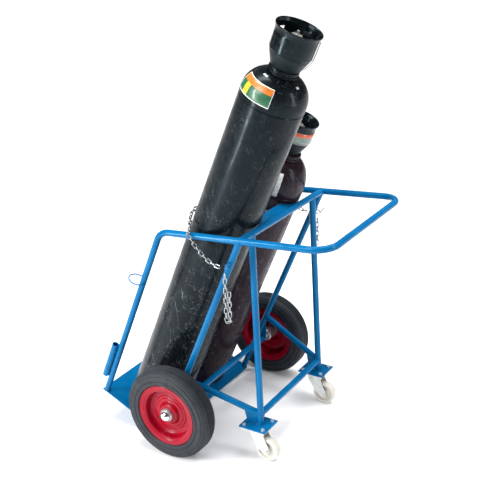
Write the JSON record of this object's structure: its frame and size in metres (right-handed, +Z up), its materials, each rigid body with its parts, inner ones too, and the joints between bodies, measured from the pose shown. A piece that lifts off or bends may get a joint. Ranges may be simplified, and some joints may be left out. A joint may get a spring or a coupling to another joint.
{
  "type": "oxy acetylene torch cart",
  "caption": "Welded tube cart for two gas cylinders: leaning bed with toe plate, hoop handle, large fixed-axle wheels, swivel castors and retaining chains.",
  "frame": {"origin": "centre of the bounding box, on the floor under the wheels", "axes": "+Z up, +X towards the handle and castors, -X towards the toe plate, +Y to the short cylinder's side"},
  "size_m": [1.037, 0.867, 1.6627],
  "materials": {
    "blue_enamel": "gloss stove enamel",
    "bright_steel": "turned",
    "chrome_cap": "polished",
    "zinc_plate": "zinc plated",
    "solid_tyre": "ribbed rubber",
    "red_enamel": "gloss enamel",
    "nylon": "moulded",
    "black_paint": "scuffed gloss",
    "maroon_paint": "scuffed gloss",
    "guard_black": "moulded",
    "valve_chrome": "chromed brass"
  },
  "bodies": {
    "frame": {"hoop_tube": "blue_enamel", "top_crossbar": "blue_enamel", "back_tube_left": "blue_enamel", "back_tube_right": "blue_enamel", "leg_left": "blue_enamel", "leg_right": "blue_enamel", "low_rail_left": "blue_enamel", "low_rail_right": "blue_enamel", "low_crossbar": "blue_enamel", "cradle_plate": "blue_enamel", "toe_plate": "blue_enamel", "axle_housing": "blue_enamel", "axle_bar": "bright_steel", "axle_gusset_left": "blue_enamel", "axle_gusset_right": "blue_enamel", "axle_cap_left": "chrome_cap", "axle_cap_right": "chrome_cap", "castor_plate_left": "blue_enamel", "castor_plate_right": "blue_enamel", "foot_gusset_left": "blue_enamel", "foot_gusset_right": "blue_enamel", "castor_head_left": "zinc_plate", "castor_head_right": "zinc_plate", "castor_bolts": "zinc_plate", "castor_nuts": "zinc_plate", "rod_socket": "blue_enamel", "rod_ring": "blue_enamel", "chain_lugs": "blue_enamel", "chain_left": "zinc_plate", "chain_right": "zinc_plate", "chain_hooks": "zinc_plate"},
    "wheel_left": {"tyre_left": "solid_tyre", "rim_left": "red_enamel", "hub_left": "bright_steel"},
    "wheel_right": {"tyre_right": "solid_tyre", "rim_right": "red_enamel", "hub_right": "bright_steel"},
    "castor_swivel_left": {"fork_left": "zinc_plate", "kingpin_left": "zinc_plate", "castor_axle_left": "zinc_plate"},
    "castor_swivel_right": {"fork_right": "zinc_plate", "kingpin_right": "zinc_plate", "castor_axle_right": "zinc_plate"},
    "castor_roller_left": {"castor_wheel_left": "nylon"},
    "castor_roller_right": {"castor_wheel_right": "nylon"},
    "tall_cylinder": {"tall_shell": "black_paint", "tall_neck_ring": "black_paint", "tall_guard": "guard_black", "tall_valve": "valve_chrome"},
    "tall_valve_spindle": {"tall_spindle": "bright_steel"},
    "short_cylinder": {"short_shell": "maroon_paint", "short_neck_ring": "black_paint", "short_guard": "guard_black", "short_valve": "valve_chrome"},
    "short_valve_spindle": {"short_spindle": "bright_steel"}
  },
  "joints": [
    {"name": "wheel_left_spin", "type": "hinge", "parent": "frame", "child": "wheel_left", "pos_m": [-0.12599, -0.379, 0.185], "axis": [0, 1, 0], "continuous": true},
    {"name": "wheel_right_spin", "type": "hinge", "parent": "frame", "child": "wheel_right", "pos_m": [-0.12599, 0.379, 0.185], "axis": [0, 1, 0], "continuous": true},
    {"name": "castor_left_swivel", "type": "hinge", "parent": "frame", "child": "castor_swivel_left", "pos_m": [0.179, -0.239, 0.048], "axis": [0, 0, 1], "continuous": true},
    {"name": "castor_left_roll", "type": "hinge", "parent": "castor_swivel_left", "child": "castor_roller_left", "pos_m": [0.22201, -0.239, 0.048], "axis": [0, 1, 0], "continuous": true},
    {"name": "castor_right_swivel", "type": "hinge", "parent": "frame", "child": "castor_swivel_right", "pos_m": [0.179, 0.239, 0.048], "axis": [0, 0, 1], "continuous": true},
    {"name": "castor_right_roll", "type": "hinge", "parent": "castor_swivel_right", "child": "castor_roller_right", "pos_m": [0.22201, 0.239, 0.048], "axis": [0, 1, 0], "continuous": true},
    {"name": "tall_cylinder_lift", "type": "slide", "parent": "frame", "child": "tall_cylinder", "axis": [0.3987, 0, 0.9171], "range_m": [0, 1.02]},
    {"name": "tall_valve_turn", "type": "hinge", "parent": "tall_cylinder", "child": "tall_valve_spindle", "pos_m": [0.31248, -0.174, 1.58966], "axis": [0.3987, 0, 0.9171], "range_deg": [0, 360]},
    {"name": "short_cylinder_lift", "type": "slide", "parent": "frame", "child": "short_cylinder", "axis": [0.3987, 0, 0.9171], "range_m": [0, 1.02]},
    {"name": "short_valve_turn", "type": "hinge", "parent": "short_cylinder", "child": "short_valve_spindle", "pos_m": [0.15563, 0.128, 1.21514], "axis": [0.3987, 0, 0.9171], "range_deg": [0, 360]}
  ]
}
